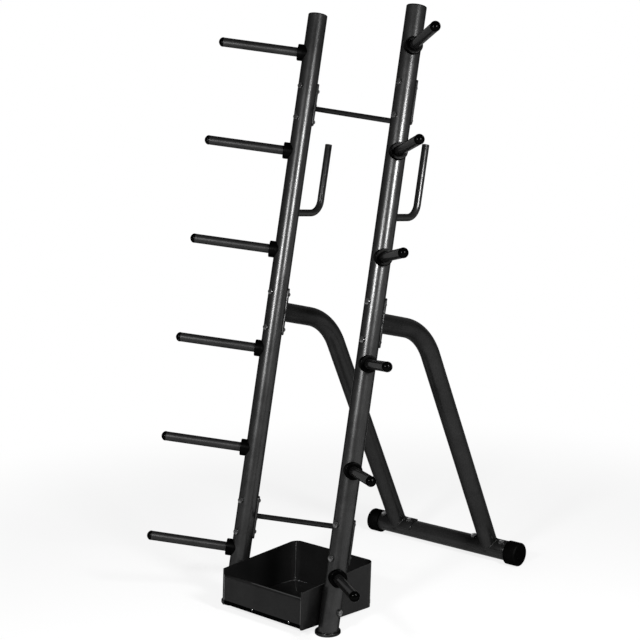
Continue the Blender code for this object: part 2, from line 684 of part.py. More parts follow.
def build_tray(root, frames):
    """The open tray between the uprights, drawn from the middle of its lower front edge."""
    half = UPRIGHT_SPACING / 2 - TUBE_RADIUS - FIT_GAP
    inside = half - TRAY_SHEET
    rear = TRAY_DEPTH - TRAY_SHEET
    high = TRAY_REAR_WALL + OVERCUT
    tilt = -math.asin((TRAY_FRONT_Z - TRAY_REAR_Z) / TRAY_DEPTH)
    frame = frame_empty("tray_frame", root, (0.0, TRAY_FRONT_Y, TRAY_FRONT_Z), tilt)

    bm = bmesh.new()
    add_box(bm, (-half, 0, 0), (half, TRAY_DEPTH, high), TRAY_CORNER)
    slope = Vector((0.0, TRAY_FRONT_WALL - TRAY_REAR_WALL, TRAY_DEPTH))
    slice_off(bm, (0.0, 0.0, TRAY_FRONT_WALL), slope)
    tray = place("tray", to_mesh(bm, "tray"), COATED_STEEL, frame)

    corner = TRAY_CORNER - TRAY_SHEET
    cavity = bmesh.new()
    floor_top = TRAY_FLOOR + TRAY_SHEET
    add_box(cavity, (-inside, TRAY_SHEET, floor_top), (inside, rear, high + OVERCUT), corner)
    add_box(cavity, (-inside, TRAY_SHEET, -OVERCUT), (inside, rear, TRAY_FLOOR), corner)
    boolean(tray, helper("tray_cavity", cavity, frame), "DIFFERENCE")
    window = bmesh.new()
    opening = half - TRAY_FLANGE
    add_box(window, (-opening, -OVERCUT, -OVERCUT), (opening, 2 * TRAY_SHEET, high + OVERCUT))
    boolean(tray, helper("tray_window", window, frame), "DIFFERENCE")

    weld = half - TRAY_SHEET / 2
    panel_back = TRAY_PANEL_SETBACK + TRAY_SHEET
    panel = bmesh.new()
    add_box(panel, (-weld, TRAY_PANEL_SETBACK, TRAY_FLOOR), (weld, panel_back, TRAY_PANEL_TOP))
    boolean(tray, helper("tray_panel", panel, frame), "UNION")
    folds = bmesh.new()
    lip_back = TRAY_PANEL_SETBACK + TRAY_LIP
    lip_low = TRAY_PANEL_TOP - TRAY_SHEET
    add_box(folds, (-weld, TRAY_PANEL_SETBACK, lip_low), (weld, lip_back, TRAY_PANEL_TOP))
    skirt_back = TRAY_SKIRT_SETBACK + TRAY_SHEET
    skirt_top = TRAY_FLOOR + TRAY_SHEET / 2
    add_box(folds, (-weld, TRAY_SKIRT_SETBACK, FIT_GAP), (weld, skirt_back, skirt_top))
    boolean(tray, helper("tray_folds", folds, frame), "UNION")

    holes = bmesh.new()
    far = UPRIGHT_SPACING / 2 + TUBE_RADIUS
    bolt_hole(holes, (0, 0, TRAY_BOLT_HEIGHT), (far, 0, TRAY_BOLT_HEIGHT))
    bolt_hole(holes, (UPRIGHT_SPACING - far, 0, TRAY_BOLT_HEIGHT), (UPRIGHT_SPACING, 0, TRAY_BOLT_HEIGHT))
    boolean(tray, helper("bolt_holes_tray", holes, frames["left"]), "DIFFERENCE")


def world_points(obj):
    return [obj.matrix_world @ vert.co for vert in obj.data.vertices]


def centre_on_floor(root):
    """Slides the tree so that its front and rear reach equally far from the origin."""
    bpy.context.view_layer.update()
    front = min(point.y for point in world_points(bpy.data.objects["peg_cap_left_1"]))
    rear = max(point.y for point in world_points(bpy.data.objects["base_cap_left"]))
    root.location.y = -(front + rear) / 2


clear_start_scene()
parts = make_collection("weight_plate_tree")
helpers = make_collection("cutters")
helpers.hide_render = True

root = frame_empty("tree_frame", None)
stands = {}
frames = {}
for label, side in SIDES.items():
    foot_point = (side * UPRIGHT_SPACING / 2, 0.0, 0.0)
    stands[label] = frame_empty("stand_" + label, root, foot_point)
    frames[label] = frame_empty("lean_" + label, root, foot_point, -LEAN)
base_frame = frame_empty("base_frame", root, (0.0, base_axis_y(), BASE_CAP_RADIUS))

shared = {
    "collar": collar_mesh(),
    "peg_cap": peg_cap_mesh(),
    "top_plug": top_plug_mesh(),
    "foot": foot_mesh(),
    "base_cap": base_cap_mesh(),
}

base_clearance = bmesh.new()
base_half = BASE_LENGTH / 2
base_clear = clear_radius(TUBE_RADIUS, TUBE_SIDES)
add_cylinder(base_clearance, base_clear, (-base_half, 0, 0), (base_half, 0, 0), TUBE_SIDES)
base_room = helper("base_room", base_clearance, base_frame)

tube_rooms = {}
for label, side in SIDES.items():
    build_upright(label, side, frames[label])
    tube_rooms[label] = build_upright_trim(label, side, frames[label], stands[label], shared)
    build_leg(label, stands[label], tube_rooms[label], base_room)
build_cross_rod(
    "cross_rod_upper", UPPER_CROSS_HEIGHT, UPPER_CROSS_LEFT, UPPER_CROSS_RIGHT, frames, tube_rooms
)
build_cross_rod(
    "cross_rod_lower", LOWER_CROSS_HEIGHT, LOWER_CROSS_LEFT, LOWER_CROSS_RIGHT, frames, tube_rooms
)
build_base(base_frame, shared)
build_tray(root, frames)
build_bolts(frames, base_frame)
centre_on_floor(root)
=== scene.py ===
import math

import bmesh
import bpy
from mathutils import Matrix, Vector


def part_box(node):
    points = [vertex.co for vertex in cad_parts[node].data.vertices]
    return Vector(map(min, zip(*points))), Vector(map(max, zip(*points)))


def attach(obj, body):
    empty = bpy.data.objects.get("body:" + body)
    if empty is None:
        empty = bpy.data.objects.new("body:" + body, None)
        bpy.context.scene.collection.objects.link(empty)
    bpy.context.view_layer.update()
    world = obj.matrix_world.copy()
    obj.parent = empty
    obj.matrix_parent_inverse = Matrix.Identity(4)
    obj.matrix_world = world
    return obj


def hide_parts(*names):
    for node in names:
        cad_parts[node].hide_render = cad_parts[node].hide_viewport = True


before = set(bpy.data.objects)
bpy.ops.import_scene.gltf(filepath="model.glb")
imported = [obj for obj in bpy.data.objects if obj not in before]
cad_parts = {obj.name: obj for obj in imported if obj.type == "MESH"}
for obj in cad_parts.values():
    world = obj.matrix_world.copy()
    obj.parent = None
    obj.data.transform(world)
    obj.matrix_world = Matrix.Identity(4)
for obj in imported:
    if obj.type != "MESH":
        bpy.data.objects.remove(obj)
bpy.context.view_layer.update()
print("frame loaded with", len(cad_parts), "nodes")

# what the whole tree is laid out by, in metres and degrees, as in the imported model
tree = {
    "spacing": 0.385,
    "lean": 13.5,
    "tubeRadius": 0.030,
    "wall": 0.002,
    "gap": 0.0003,
    "roundSides": 96,
    "boreSides": 72,
    # how far bores are cut past the ends of a tube
    "past": 0.01,
}
sides = {"left": -1, "right": 1}


def middleOf(node):
    low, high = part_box(node)
    return (low + high) / 2


feetY = middleOf("foot_left").y
baseCentre = middleOf("base_cap_left")
baseY, baseZ = baseCentre.y, baseCentre.z


def standFrame(side):
    return Matrix.Translation((side * tree["spacing"] / 2, feetY, 0))


def leanFrame(side):
    # Z runs up the leaning tube, from the floor
    return standFrame(side) @ Matrix.Rotation(-math.radians(tree["lean"]), 4, "X")


# colours are grey levels, scales are noise per metre; the others are changed from the first
finishes = {
    "coatedSteel": dict(
        dark=0.038, light=0.050, cloudScale=14, metallic=0.9, specular=0.12, edgeTint=0.12,
        roughLow=0.28, roughHigh=0.33, peelScale=520, peelStrength=0.06, peelDepth=0.0004,
        grainScale=2600, grainStrength=0.05, grainDepth=0.0002, fleck=0.30, fleckScale=430,
        coat=0.0, coatRough=0.09,
    )
}


def addFinish(name, base="coatedSteel", **changes):
    # a copy of an earlier finish with some of its values changed
    finishes[name] = dict(finishes[base], **changes)


# the tubes' coat again, darker on the pegs and cross bars so that they catch less of the lamps:
# painted shade
addFinish(
    "pegCoatPaintedShade",
    dark=0.020, light=0.028, cloudScale=16, edgeTint=0.20,
    roughLow=0.40, roughHigh=0.46, coat=0.09,
)
addFinish(
    "coatedLeg",
    dark=0.0205, light=0.0275, cloudScale=12, metallic=0.8,
    roughLow=0.30, roughHigh=0.36, fleck=0.34,
)
addFinish("coatedBase", "coatedLeg", dark=0.020, light=0.026, metallic=0.5)
addFinish(
    "coatedSheet",
    dark=0.011, light=0.0155, cloudScale=10, metallic=0.55,
    roughLow=0.30, roughHigh=0.38, peelScale=420, peelStrength=0.05,
    grainStrength=0.04, fleck=0.22, fleckScale=380, coat=0.08,
)
# weld beads in a coat lighter than the steel's: real welds with a painted glint
addFinish(
    "weldCoatAndPaintedGlint",
    dark=0.045, light=0.085, cloudScale=260, specular=0.3, edgeTint=0.3,
    roughLow=0.24, roughHigh=0.40, peelScale=700, peelStrength=0.4,
    grainStrength=0.10, fleckScale=600,
)
# pale bars on the tray's corners and flange edges: painted highlight lines
addFinish("paintedHighlight", dark=0.12, light=0.18, roughLow=0.30, roughHigh=0.40)
# black rubber for the collars; on the tray's strip under the panel it is painted shade
addFinish(
    "mouldedRubber",
    dark=0.0015, light=0.0032, cloudScale=40, specular=0.02, edgeTint=0.02,
    roughLow=0.26, roughHigh=0.40, peelScale=900, peelStrength=0.12,
    grainScale=3200, grainStrength=0.10, fleck=0.4, fleckScale=500,
)
# lighter than the rubber's own black, so that the foot's front shows the lamps: painted sheen
addFinish(
    "footRubber", "mouldedRubber",
    dark=0.014, light=0.034, peelScale=150, peelStrength=0.45,
)
addFinish(
    "capRubber", "mouldedRubber",
    dark=0.0030, light=0.0050, roughLow=0.50, roughHigh=0.65,
)
addFinish(
    "mouldedPlastic",
    dark=0.0022, light=0.0040, cloudScale=60, specular=0.04, edgeTint=0.02,
    roughLow=0.12, roughHigh=0.20, peelScale=1400, peelStrength=0.05,
    grainScale=4200, grainStrength=0.04, fleckScale=600,
)
addFinish(
    "darkZinc",
    dark=0.05, light=0.19, cloudScale=150, metallic=0.95, specular=0.5, edgeTint=0.6,
    roughLow=0.14, roughHigh=0.26, peelScale=900, peelStrength=0.35,
    grainScale=5200, grainStrength=0.06, fleck=0.4, fleckScale=800,
)
# the same zinc, lighter for the base tube's bolts, which sit in dim light: painted highlight
addFinish("brightZinc", "darkZinc", dark=0.14, light=0.42)
# the part of a noise's range that is stretched over a finish's two values
noiseMiddle = (0.32, 0.68)


def grey(level):
    return (level, level, level, 1)


def setInputs(node, values):
    for name, value in values.items():
        node.inputs[name].default_value = value


def makeFinish(name, look):
    finish = bpy.data.materials.new(name)
    finish.use_nodes = True
    nodes, links = finish.node_tree.nodes, finish.node_tree.links
    shader = nodes["Principled BSDF"]
    setInputs(shader, {"Metallic": look["metallic"], "Specular IOR Level": look["specular"]})
    setInputs(shader, {"Specular Tint": grey(look["edgeTint"])})
    setInputs(shader, {"Coat Weight": look["coat"], "Coat Roughness": look["coatRough"]})
    place = nodes.new("ShaderNodeTexCoord")

    def noiseAt(scale, detail, rough=0.5):
        node = nodes.new("ShaderNodeTexNoise")
        setInputs(node, {"Scale": scale, "Detail": detail, "Roughness": rough})
        links.new(place.outputs["Object"], node.inputs["Vector"])
        return node.outputs["Fac"]

    def spread(value, low, high):
        node = nodes.new("ShaderNodeMapRange")
        setInputs(node, {"From Min": noiseMiddle[0], "From Max": noiseMiddle[1]})
        setInputs(node, {"To Min": low, "To Max": high})
        links.new(value, node.inputs["Value"])
        return node.outputs["Result"]

    # slow drifts of colour and gloss, as a sprayed or moulded skin has
    blend = nodes.new("ShaderNodeMix")
    blend.data_type = "RGBA"
    blend.inputs[6].default_value = grey(look["dark"])
    blend.inputs[7].default_value = grey(look["light"])
    links.new(spread(noiseAt(look["cloudScale"], 5, 0.6), 0, 1), blend.inputs["Factor"])
    # fine flecks, darker and lighter
    fleck = nodes.new("ShaderNodeMix")
    fleck.data_type = "RGBA"
    fleck.blend_type = "MULTIPLY"
    fleck.inputs["Factor"].default_value = 1.0
    links.new(blend.outputs[2], fleck.inputs[6])
    flecks = spread(noiseAt(look["fleckScale"], 3, 0.65), 1 - look["fleck"], 1 + look["fleck"])
    links.new(flecks, fleck.inputs[7])
    links.new(fleck.outputs[2], shader.inputs["Base Color"])
    gloss = spread(noiseAt(look["cloudScale"] * 2.3, 4), look["roughLow"], look["roughHigh"])
    links.new(gloss, shader.inputs["Roughness"])

    def bump(kind, detail):
        node = nodes.new("ShaderNodeBump")
        strength, depth = look[kind + "Strength"], look[kind + "Depth"]
        setInputs(node, {"Strength": strength, "Distance": depth})
        links.new(noiseAt(look[kind + "Scale"], detail), node.inputs["Height"])
        return node

    # orange peel or moulded pebble, then a finer grain on top
    peel, grain = bump("peel", 2), bump("grain", 3)
    links.new(peel.outputs["Normal"], grain.inputs["Normal"])
    links.new(grain.outputs["Normal"], shader.inputs["Normal"])
    return finish


finishOf = {name: makeFinish(name, look) for name, look in finishes.items()}
slotOf = {name: "coated_steel" for name in finishes}
slotOf.update(mouldedRubber="black_rubber", footRubber="black_rubber", capRubber="black_rubber")
slotOf.update(mouldedPlastic="black_plastic", darkZinc="plated_steel", brightZinc="plated_steel")
print("finishes made")


def aim(point, heading):
    turn = Vector(heading).to_track_quat("Z", "Y")
    return Matrix.Translation(point) @ turn.to_matrix().to_4x4()


def frameAt(point, angle, axis):
    return Matrix.Translation(point) @ Matrix.Rotation(angle, 4, axis)


def addBar(bm, radius, start, end, count):
    start, end = Vector(start), Vector(end)
    bmesh.ops.create_cone(
        bm,
        cap_ends=True,
        segments=count,
        radius1=radius,
        radius2=radius,
        depth=(end - start).length,
        matrix=aim((start + end) / 2, end - start),
    )


def bar(radius, start, end, count):
    bm = bmesh.new()
    addBar(bm, radius, start, end, count)
    return bm


def block(low, high):
    # a box from its lowest to its highest corner
    size = [b - a for a, b in zip(low, high)]
    middle = [(a + b) / 2 for a, b in zip(low, high)]
    bm = bmesh.new()
    shape = Matrix.Translation(middle) @ Matrix.Diagonal((*size, 1))
    bmesh.ops.create_cube(bm, size=1, matrix=shape)
    return bm


def spinRound(bm, geom, steps, near):
    # a full turn about Z, closed where points come nearer than that
    bmesh.ops.spin(
        bm,
        geom=geom,
        cent=(0, 0, 0),
        axis=(0, 0, 1),
        angle=2 * math.pi,
        steps=steps,
        use_merge=True,
    )
    bmesh.ops.remove_doubles(bm, verts=bm.verts, dist=near)


def turned(profile, count):
    # spins (radius, height) points about Z
    bm = bmesh.new()
    verts = [bm.verts.new((r, 0, z)) for r, z in profile]
    wire = [bm.edges.new(pair) for pair in zip(verts, verts[1:])]
    spinRound(bm, verts + wire, count, 0.00001)
    bmesh.ops.recalc_face_normals(bm, faces=bm.faces)
    return bm


def arc(r, z, size, first, last, steps):
    # points on a round about (r, z), angles in degrees from the radius towards +Z
    angles = [math.radians(first + (last - first) * i / steps) for i in range(steps + 1)]
    return [(r + size * math.cos(angle), z + size * math.sin(angle)) for angle in angles]


def only(geom, kind):
    return [g for g in geom if isinstance(g, kind)]


def everything(bm):
    return bm.verts[:] + bm.edges[:] + bm.faces[:]


def isUpright(edge):
    return abs(edge.verts[0].co.z - edge.verts[1].co.z) > 0.001


def bentBar(radius, count, start, heading, path):
    # a round bar in a plane across X, in straight runs and bends
    bm = bmesh.new()
    at, heading = Vector(start), Vector(heading)
    start = aim(at, heading)
    ring = bmesh.ops.create_circle(bm, cap_ends=True, radius=radius, segments=count, matrix=start)
    face = ring["verts"][0].link_faces[0]
    for run in path:
        geom = [face, *face.edges, *face.verts]
        if run[0] == "straight":
            made = bmesh.ops.extrude_face_region(bm, geom=geom)["geom"]
            step = heading * run[1]
            bmesh.ops.translate(bm, vec=step, verts=only(made, bmesh.types.BMVert))
            at = at + step
        else:
            _, bend, angle, steps = run
            inward = Vector((0, -heading.z, heading.y)) * math.copysign(1, angle)
            centre = at + inward * bend
            made = bmesh.ops.spin(
                bm, geom=geom, cent=centre, axis=(1, 0, 0), angle=angle, steps=steps
            )["geom_last"]
            turn = Matrix.Rotation(angle, 3, "X")
            at = centre + turn @ (at - centre)
            heading = turn @ heading
        face = only(made, bmesh.types.BMFace)[0]
    bmesh.ops.recalc_face_normals(bm, faces=bm.faces)
    return bm, face


def roundEdges(bm, edges, size, steps=3):
    bmesh.ops.bevel(
        bm,
        geom=list(edges),
        affect="EDGES",
        offset=size,
        segments=steps,
        profile=0.5,
        clamp_overlap=True,
    )


def bendPlate(length, thick, inner, halfAngle, corner, edge, cuts=30):
    # a flat plate with rounded corners, rolled round a tube that runs along Y, crown at +Z
    arcLength = 2 * math.radians(halfAngle) * (inner + thick)
    half = (arcLength / 2, length / 2)
    bm = block((-half[0], -half[1], 0.0), (*half, thick))
    roundEdges(bm, [e for e in bm.edges if isUpright(e)], corner, 6)
    rims = [e for e in bm.edges if all(abs(v.co.z - thick) < 1e-6 for v in e.verts)]
    roundEdges(bm, rims, edge, 2)
    for i in range(1, cuts):
        x = (i / cuts - 0.5) * arcLength
        bmesh.ops.bisect_plane(
            bm, geom=everything(bm), dist=1e-6, plane_co=(x, 0, 0), plane_no=(1, 0, 0)
        )
    for v in bm.verts:
        angle = v.co.x / arcLength * 2 * math.radians(halfAngle)
        reach = inner + v.co.z
        v.co = Vector((reach * math.sin(angle), v.co.y, reach * math.cos(angle)))
    return bm


def weldBead(barRadius, hostRadius, bead, ripples, offset=0.0, squash=0.8):
    # a rippled ring where a bar along +Z, at x = offset, leaves a tube that runs along Y
    bm = bmesh.new()
    start = frameAt((barRadius, 0, 0), math.pi / 2, "X")
    bmesh.ops.create_circle(bm, segments=12, radius=bead, matrix=start)
    spinRound(bm, everything(bm), ripples * 4, 0.000001)
    for v in bm.verts:
        turn = math.atan2(v.co.y, v.co.x)
        # even ripples on a slower drift
        swell = 1 + 0.13 * math.sin(ripples * turn) + 0.06 * math.sin(5 * turn + 1.3)
        out = math.hypot(v.co.x, v.co.y) - barRadius
        reach = barRadius + out * swell
        across = reach * math.cos(turn) + offset
        seat = math.sqrt(max(hostRadius**2 - across**2, 0.0))
        v.co = Vector((across, reach * math.sin(turn), seat + v.co.z * swell * squash))
    bmesh.ops.recalc_face_normals(bm, faces=bm.faces)
    return bm


def moved(bm, matrix):
    bmesh.ops.transform(bm, matrix=matrix, verts=bm.verts)
    if matrix.determinant() < 0:
        bmesh.ops.reverse_faces(bm, faces=bm.faces)
    return bm


def joined(*shapes):
    # several separate shells in one mesh
    whole = bmesh.new()
    for bm in shapes:
        temp = bpy.data.meshes.new("temp")
        bm.to_mesh(temp)
        bm.free()
        whole.from_mesh(temp)
        bpy.data.meshes.remove(temp)
    return whole


def mendSeams(bm, near=0.000004):
    # the solver leaves points that coincide but for rounding, and spare ones along straight edges
    bmesh.ops.remove_doubles(bm, verts=bm.verts, dist=near)
    bmesh.ops.dissolve_degenerate(bm, dist=near, edges=bm.edges)
    straight = math.radians(12)
    spare = [v for v in bm.verts if len(v.link_edges) == 2 and v.calc_edge_angle(1.0) < straight]
    bmesh.ops.dissolve_verts(bm, verts=spare)


def carve(bm, steps):
    # runs (operation, other shape) steps and gives the result back as one bmesh
    made = []

    def temporary(shape):
        mesh = bpy.data.meshes.new("temp")
        shape.to_mesh(mesh)
        shape.free()
        obj = bpy.data.objects.new("temp", mesh)
        bpy.context.scene.collection.objects.link(obj)
        made.append(obj)
        return obj

    base = temporary(bm)
    for operation, other in steps:
        step = base.modifiers.new(operation, "BOOLEAN")
        step.operation = operation
        step.solver = "MANIFOLD"
        step.object = temporary(other)
    bpy.context.view_layer.update()
    graph = bpy.context.evaluated_depsgraph_get()
    mesh = bpy.data.meshes.new_from_object(base.evaluated_get(graph))
    result = bmesh.new()
    result.from_mesh(mesh)
    bpy.data.meshes.remove(mesh)
    for obj in made:
        mesh = obj.data
        bpy.data.objects.remove(obj)
        bpy.data.meshes.remove(mesh)
    mendSeams(result)
    return result


def addObject(name, bm, materials):
    mesh = bpy.data.meshes.new(name)
    bm.to_mesh(mesh)
    bm.free()
    for material in materials:
        mesh.materials.append(material)
    obj = bpy.data.objects.new(name, mesh)
    bpy.context.scene.collection.objects.link(obj)
    return obj


def finishPiece(name, bm, finish, stands=(), softEdge=0.0, smoothAngle=38, second=None):
    # second is another finish and the numbers of the faces that take it
    kinds = [finish, second[0]] if second else [finish]
    obj = addObject(name, bm, [finishOf[kind] for kind in kinds])
    mesh = obj.data
    for polygon in mesh.polygons:
        polygon.material_index = int(bool(second) and polygon.index in second[1])
    if softEdge:
        soft = obj.modifiers.new("soft edges", "BEVEL")
        soft.width = softEdge
        soft.segments = 2
        soft.limit_method = "ANGLE"
        soft.angle_limit = math.radians(50)
    mesh.shade_smooth()
    mesh.set_sharp_from_angle(angle=math.radians(smoothAngle))
    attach(obj, "root")
    if stands:
        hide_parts(*stands)


upright = {
    "length": 1.829,
    "bottom": 0.0038,
    "pegRadius": 0.0143,
    "pegFirst": 0.1636,
    "pegPitch": 0.309,
    "pegCount": 6,
    "pegSpread": 39.4,
    "pegReach": 0.294,
    "capLength": 0.015,
    "hookRadius": 0.011,
    "hookHeight": 1.2090,
    "hookTip": 1.453,
    "hookTilt": 10.0,
    "hookReach": 0.135,
    "hookBend": 0.047,
    "hookEdge": 0.0015,
    "beadSize": 0.0026,
    "ripples": 22,
    "pegSides": 48,
    "pegBoreSides": 40,
    "hookSides": 36,
    "bendSteps": 18,
}
bolt = {
    "radius": 0.005,
    "flats": 0.017,
    "head": 0.0064,
    "nut": 0.008,
    "tip": 0.003,
    "pitch": 0.0009,
    "threadDeep": 0.0006,
    "domeRadius": 0.0079,
    "domeRise": 0.0026,
    "domeSides": 48,
    "threadSides": 36,
    "chamfer": 30,
    "chamferFrom": 0.97,
    "holeSides": 24,
    "holeReach": 0.06,
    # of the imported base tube's bore, which the foot nuts lie against
    "packedBoreSides": 20,
    # heights on the uprights, for the cross rods, legs and tray too
    "upperCross": 1.553,
    "lowerCross": 0.2644,
    "crossSpacing": 0.097,
    "leg": 0.904,
    "legSpacing": 0.1106,
    "tray": 0.065,
}
boltHeights = {
    name + end: bolt[middle] + sign * bolt[spacing] / 2
    for name, middle, spacing in (
        ("upper_cross", "upperCross", "crossSpacing"),
        ("lower_cross", "lowerCross", "crossSpacing"),
        ("leg", "leg", "legSpacing"),
    )
    for end, sign in (("_low", -1), ("_high", 1))
}


def pegFrame(side, index):
    spread = math.radians(upright["pegSpread"])
    turn = math.atan2(-math.sin(spread), side * math.cos(spread))
    height = upright["pegFirst"] + index * upright["pegPitch"]
    return frameAt((0, 0, height), turn, "Z") @ Matrix.Rotation(math.pi / 2, 4, "Y")


def boltHole(holes, start, end):
    addBar(holes, bolt["radius"] + tree["gap"], start, end, bolt["holeSides"])


def floorLevel(bm, height):
    # trims a leaning shape, drawn in its upright's frame, level with the floor
    lean = math.radians(tree["lean"])
    level = Vector((0, -math.sin(lean), math.cos(lean)))
    cut = bmesh.ops.bisect_plane(
        bm,
        geom=everything(bm),
        dist=1e-6,
        plane_co=level * height,
        plane_no=-level,
        clear_outer=True,
    )
    bmesh.ops.contextual_create(bm, geom=only(cut["geom_cut"], bmesh.types.BMEdge))
    bmesh.ops.recalc_face_normals(bm, faces=bm.faces)
    return bm


def makeUpright(label, side):
    tube, wall, length = tree["tubeRadius"], tree["wall"], upright["length"]
    below, past, across = 0.02, tree["past"], 0.05
    body = bar(tube, (0, 0, -below), (0, 0, length), tree["roundSides"])
    body = floorLevel(body, upright["bottom"])
    pegEnd = upright["pegReach"] - upright["capLength"] - tree["gap"]
    pegs, pegBores = bmesh.new(), bmesh.new()
    for index in range(upright["pegCount"]):
        peg = pegFrame(side, index)
        end = peg @ Vector((0, 0, pegEnd))
        addBar(pegs, upright["pegRadius"], peg.translation, end, upright["pegSides"])
        inner, outer = peg @ Vector((0, 0, tube + wall / 2)), peg @ Vector((0, 0, pegEnd + past))
        room = upright["pegRadius"] - wall
        addBar(pegBores, room, inner, outer, upright["pegBoreSides"])
    bend, tilt = upright["hookBend"], math.radians(upright["hookTilt"])
    tangent = bend * math.tan((math.pi / 2 - tilt) / 2)
    corner = upright["hookHeight"] + upright["hookReach"] * math.tan(tilt)
    hook, tip = bentBar(
        upright["hookRadius"],
        upright["hookSides"],
        (0, 0, upright["hookHeight"]),
        (0, math.cos(tilt), math.sin(tilt)),
        [
            ("straight", upright["hookReach"] / math.cos(tilt) - tangent),
            ("bend", bend, math.pi / 2 - tilt, upright["bendSteps"]),
            ("straight", upright["hookTip"] - corner - tangent),
        ],
    )
    roundEdges(hook, tip.edges, upright["hookEdge"])
    holes = bmesh.new()
    for height in boltHeights.values():
        boltHole(holes, (0, -across, height), (0, across, height))
    boltHole(holes, (-across, 0, bolt["tray"]), (across, 0, bolt["tray"]))
    bore = bar(tube - wall, (0, 0, -below - past), (0, 0, length + past), tree["boreSides"])
    steps = [
        ("UNION", pegs),
        ("UNION", hook),
        ("DIFFERENCE", bore),
        ("DIFFERENCE", pegBores),
        ("DIFFERENCE", holes),
    ]
    made = carve(body, steps)
    made.faces.index_update()
    onPeg = set()
    for face in made.faces:
        middle = face.calc_center_median()
        if middle.xy.length > tube * 1.1 and middle.y < -0.01:
            onPeg.add(face.index)
    made = moved(made, leanFrame(side))
    # the pegs' faces take the darker copy of the coat: painted shade
    second = ("pegCoatPaintedShade", onPeg)
    finishPiece("upright_tube_" + label, made, "coatedSteel", ["upright_" + label], second=second)
    # the hook's weld, with the tube along Y of the bead's own frame
    bead = weldBead(upright["hookRadius"], tube, upright["beadSize"], upright["ripples"])
    rootHeight = upright["hookHeight"] + tube * math.tan(tilt)
    turn = frameAt((0, 0, rootHeight), -math.pi / 2, "X")
    # the weld's lighter finish is a painted glint
    finishPiece("hook_weld_" + label, moved(bead, leanFrame(side) @ turn), "weldCoatAndPaintedGlint")


for label, side in sides.items():
    makeUpright(label, side)
print("uprights made")


trim = {
    "collarRadius": 0.0257,
    "collarReach": 0.0465,
    "collarRound": 0.0024,
    "capRadius": 0.0150,
    "capRim": 0.003,
    "capSpigot": 0.016,
    "plugRim": 0.0025,
    "plugDome": 0.0025,
    "plugSpigot": 0.018,
    "footRadius": 0.0375,
    "footHeight": 0.0095,
    "footSole": 0.0035,
    "footRound": 0.0028,
    "clear": 0.0003,
    "collarSides": 72,
    "capSides": 48,
    "domeSteps": 13,
    "domePower": 1.12,
    "reflectionRimSize": 0.0011,
    "reflectionRimRipples": 17,
}


def collarShape():
    bore = upright["pegRadius"] + tree["gap"]
    r, reach, soft = trim["collarRadius"], trim["collarReach"], trim["collarRound"]
    profile = [(bore, 0.0), (r, 0.0)]
    profile += arc(r - soft, reach - soft, soft, 0, 90, 6)
    profile += arc(bore + 0.001, reach - 0.001, 0.001, 90, 180, 3)
    profile += [(bore, 0.0)]
    tube = bar(tree["tubeRadius"] + tree["gap"], (-0.1, 0, 0), (0.1, 0, 0), tree["roundSides"])
    return carve(turned(profile, trim["collarSides"]), [("DIFFERENCE", tube)])


def capShape():
    start = upright["pegReach"] - upright["capLength"]
    foot = start - trim["capSpigot"]
    spigot = upright["pegRadius"] - tree["wall"] - tree["gap"]
    r, rim, power = trim["capRadius"] - trim["clear"], trim["capRim"], trim["domePower"]
    rise = upright["capLength"] - rim
    profile = [(0.0, foot), (spigot - 0.001, foot), (spigot, foot + 0.001), (spigot, start)]
    profile += [(r - 0.0004, start), (r, start + 0.0004)]
    for i in range(trim["domeSteps"]):
        angle = i / trim["domeSteps"] * math.pi / 2
        out, along = math.cos(angle) ** power, math.sin(angle) ** power
        profile.append((r * out, start + rim + (rise - 0.0001) * along))
    profile.append((0.0, upright["pegReach"] - 0.0001))
    return turned(profile, trim["capSides"])


def plugShape():
    seat = upright["length"] + tree["gap"]
    foot, brim = seat - trim["plugSpigot"], seat + trim["plugRim"]
    r, spigot = tree["tubeRadius"] - 0.0002, tree["tubeRadius"] - tree["wall"] - tree["gap"]
    profile = [(0.0, foot), (spigot - 0.001, foot), (spigot, foot + 0.001), (spigot, seat)]
    profile += [(r - 0.0003, seat), (r, seat + 0.0003)]
    profile += arc(r - 0.0012, brim - 0.0010, 0.0012, 0, 70, 4)
    # a shallow dome, drawn in nine rings
    for i in range(1, 9):
        share = 1 - i / 9
        profile.append((r * 0.94 * share, brim + trim["plugDome"] * (1 - share**2) * 0.97))
    profile.append((0.0, brim + trim["plugDome"] * 0.97))
    return turned(profile, tree["roundSides"])


def footShape(side):
    r, high, soft = trim["footRadius"], trim["footHeight"], trim["footRound"]
    profile = [(0.0, 0.0), (r - 0.0015, 0.0), (r, 0.0015)]
    profile += arc(r - soft, high - soft, soft, 0, 90, 6) + [(0.0, high)]
    room = bar(tree["tubeRadius"] + tree["gap"], (0, 0, -0.02), (0, 0, 0.1), tree["roundSides"])
    room = floorLevel(room, trim["footSole"])
    room = moved(room, Matrix.Rotation(-math.radians(tree["lean"]), 4, "X"))
    cup = carve(turned(profile, tree["roundSides"]), [("DIFFERENCE", room)])
    return moved(cup, standFrame(side))


def paintedReflectionRim(side):
    # a rippled ring where the tube enters its foot, in the lighter weld finish: a painted
    # reflection along the foot's rim
    nearlyFlat = 10.0
    bm = weldBead(tree["tubeRadius"], nearlyFlat, trim["reflectionRimSize"], trim["reflectionRimRipples"])
    level, slant = trim["footHeight"] + 0.0002, math.tan(math.radians(tree["lean"]))
    stretch = Matrix.Diagonal((1, 1 / math.cos(math.radians(tree["lean"])), 1, 1))
    flat = Matrix.Translation((0, level * slant, level - nearlyFlat)) @ stretch
    return moved(bm, standFrame(side) @ flat)


